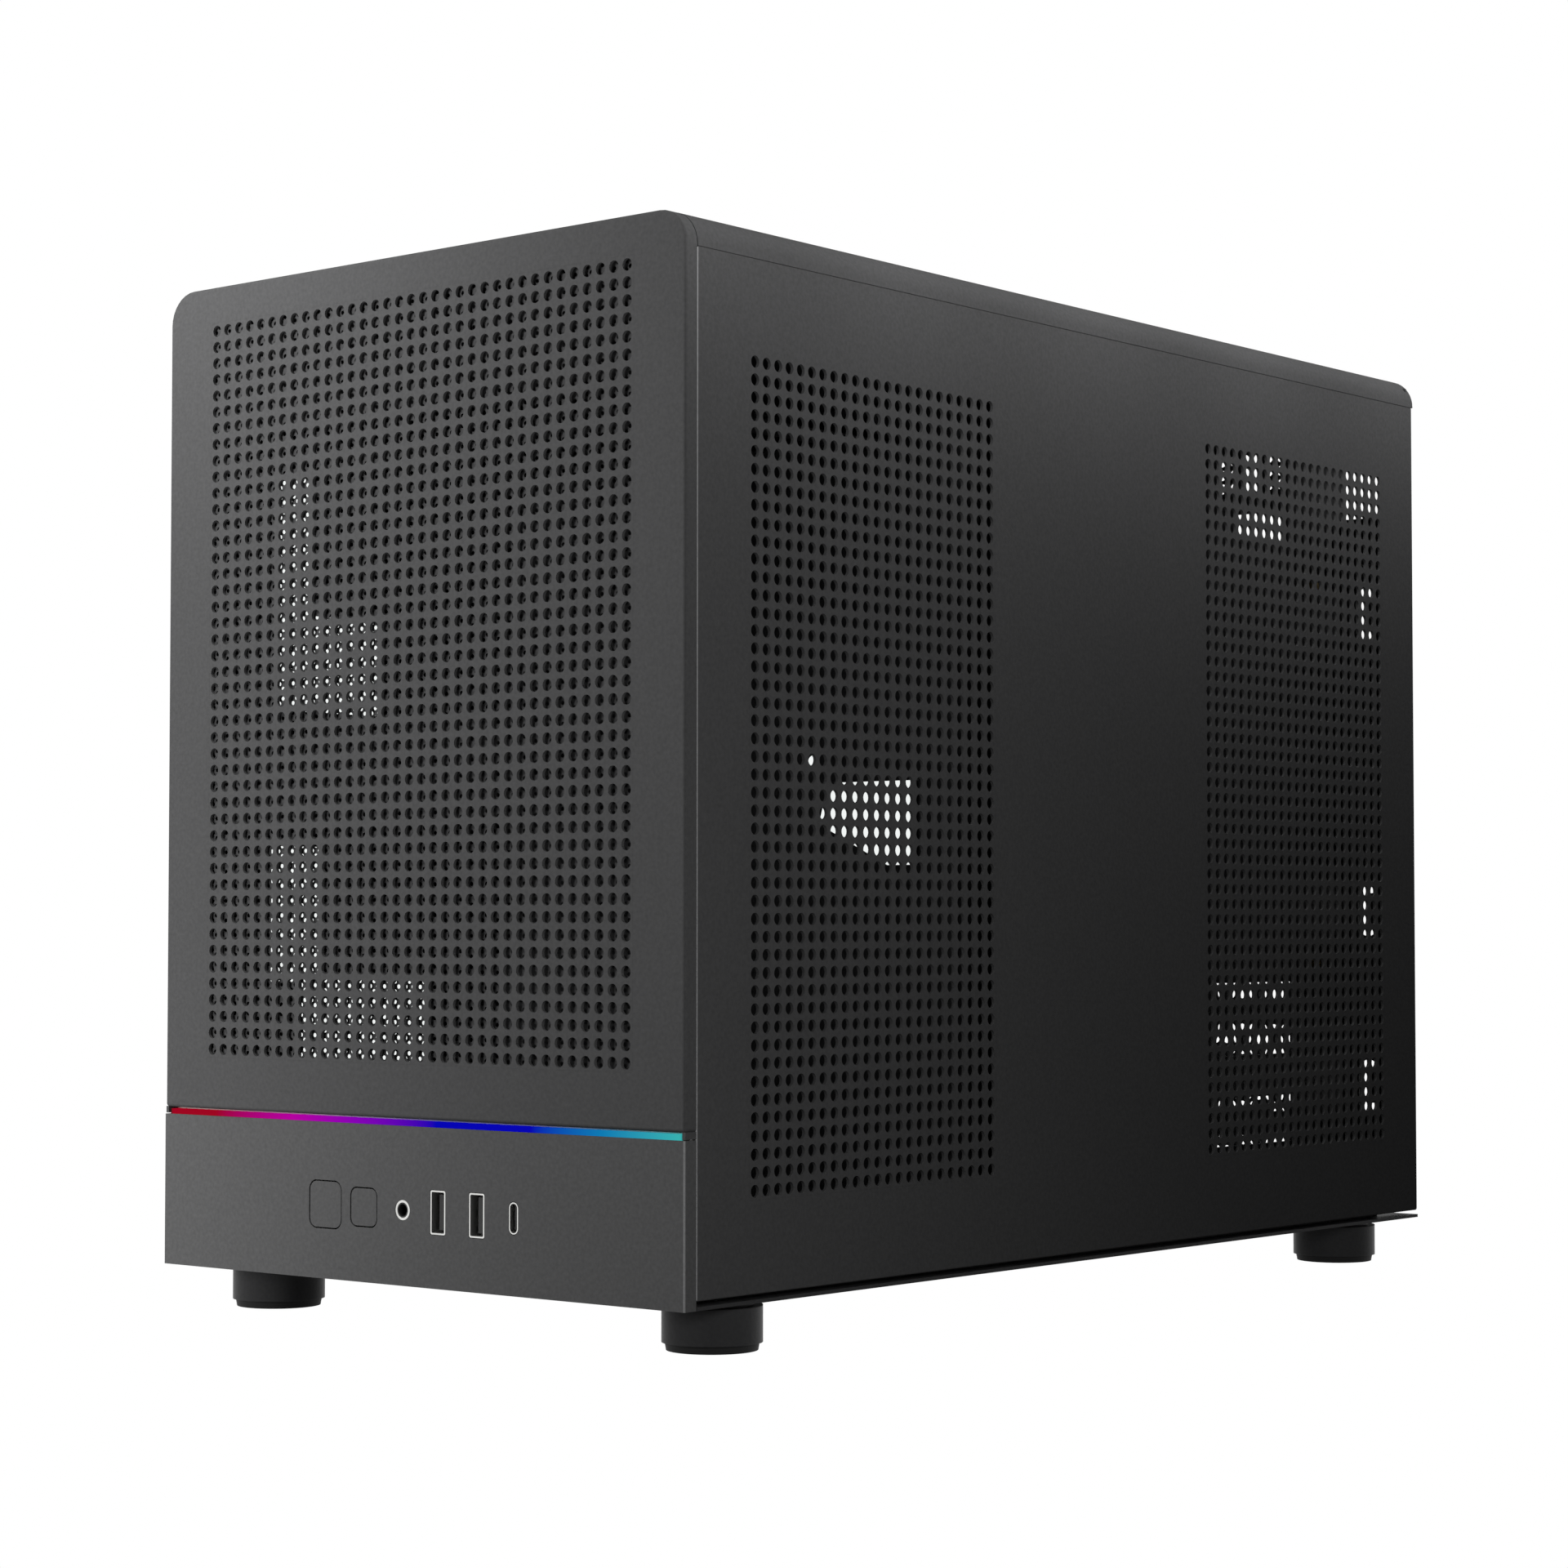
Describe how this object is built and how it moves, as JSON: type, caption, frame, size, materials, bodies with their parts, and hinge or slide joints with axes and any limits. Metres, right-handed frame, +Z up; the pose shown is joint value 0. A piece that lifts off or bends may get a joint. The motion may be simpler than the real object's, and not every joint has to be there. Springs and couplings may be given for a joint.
{
  "type": "micro atx pc case",
  "caption": "Compact upright computer case with perforated front and right side, glass left side, thin light bar, front buttons and sockets, and round feet.",
  "frame": {"origin": "middle of the base between the four feet, on the floor", "axes": "+Y from the front to the rear (longest extent), +X to the right seen from the front (shortest extent), +Z up"},
  "size_m": [0.213, 0.396, 0.314],
  "materials": {
    "frame_steel": "black powder coat",
    "cover_steel": "dark grey fine-texture powder coat",
    "filter_mesh": "fine black mesh",
    "black_plastic": "matt",
    "button_plastic": "fine matt",
    "screw_steel": "zinc",
    "light_diffuser": "milky, lit",
    "led_board": "white",
    "circuit_board": "solder mask",
    "spacer_metal": "plain",
    "port_shell": "nickel",
    "port_tongue": "matt",
    "side_glass": "clear tempered",
    "brass": "plain",
    "foot_plastic": "satin black",
    "foot_rubber": "matt"
  },
  "bodies": {
    "chassis": {"base_plate": "frame_steel", "front_wall": "frame_steel", "rear_panel": "frame_steel", "psu_bulkhead": "frame_steel", "psu_shroud": "frame_steel", "psu_bracket": "frame_steel", "motherboard_tray": "frame_steel", "top_frame": "frame_steel", "slot_cover_1": "frame_steel", "slot_cover_2": "frame_steel", "slot_cover_3": "frame_steel", "slot_cover_4": "frame_steel", "top_cover": "cover_steel", "front_fascia": "cover_steel", "front_clips": "black_plastic", "panel_clips": "black_plastic", "power_switch": "black_plastic", "reset_switch": "black_plastic", "audio_jack": "black_plastic", "fascia_screws": "screw_steel", "io_screws": "screw_steel", "slot_screws": "screw_steel", "psu_bracket_screws": "screw_steel", "cover_screws": "screw_steel", "foot_screws": "screw_steel", "light_diffuser": "light_diffuser", "light_strip_board": "led_board", "io_board": "circuit_board", "io_spacers": "spacer_metal", "usb_a_shell_1": "port_shell", "usb_a_shell_2": "port_shell", "usb_c_shell": "port_shell", "audio_ring": "port_shell", "usb_a_tongue_1": "port_tongue", "usb_a_tongue_2": "port_tongue", "usb_c_tongue": "port_tongue", "standoffs": "brass", "foot_front_left": "foot_plastic", "foot_front_right": "foot_plastic", "foot_rear_left": "foot_plastic", "foot_rear_right": "foot_plastic", "foot_pad_front_left": "foot_rubber", "foot_pad_front_right": "foot_rubber", "foot_pad_rear_left": "foot_rubber", "foot_pad_rear_right": "foot_rubber"},
    "power_button": {"power_button": "button_plastic"},
    "reset_button": {"reset_button": "button_plastic"},
    "side_panel_right": {"side_panel_right": "cover_steel", "side_panel_studs": "screw_steel"},
    "side_panel_glass": {"glass_pane": "side_glass", "glass_rail_front": "black_plastic", "glass_rail_rear": "black_plastic", "glass_studs": "screw_steel"},
    "front_panel": {"front_mesh_panel": "cover_steel", "dust_filter": "filter_mesh", "front_pegs": "black_plastic"}
  },
  "joints": [
    {"name": "power_press", "type": "slide", "parent": "chassis", "child": "power_button", "axis": [0, 1, 0], "range_m": [0, 0.0012], "stiffness_N_per_m": 1000, "springref_m": -0.0006},
    {"name": "reset_press", "type": "slide", "parent": "chassis", "child": "reset_button", "axis": [0, 1, 0], "range_m": [0, 0.0012], "stiffness_N_per_m": 1000, "springref_m": -0.0006},
    {"name": "side_panel_right_pull", "type": "slide", "parent": "chassis", "child": "side_panel_right", "axis": [1, 0, 0], "range_m": [0, 0.1]},
    {"name": "side_panel_glass_pull", "type": "slide", "parent": "chassis", "child": "side_panel_glass", "axis": [-1, 0, 0], "range_m": [0, 0.1]},
    {"name": "front_panel_pull", "type": "slide", "parent": "chassis", "child": "front_panel", "axis": [0, -1, 0], "range_m": [0, 0.1]}
  ]
}
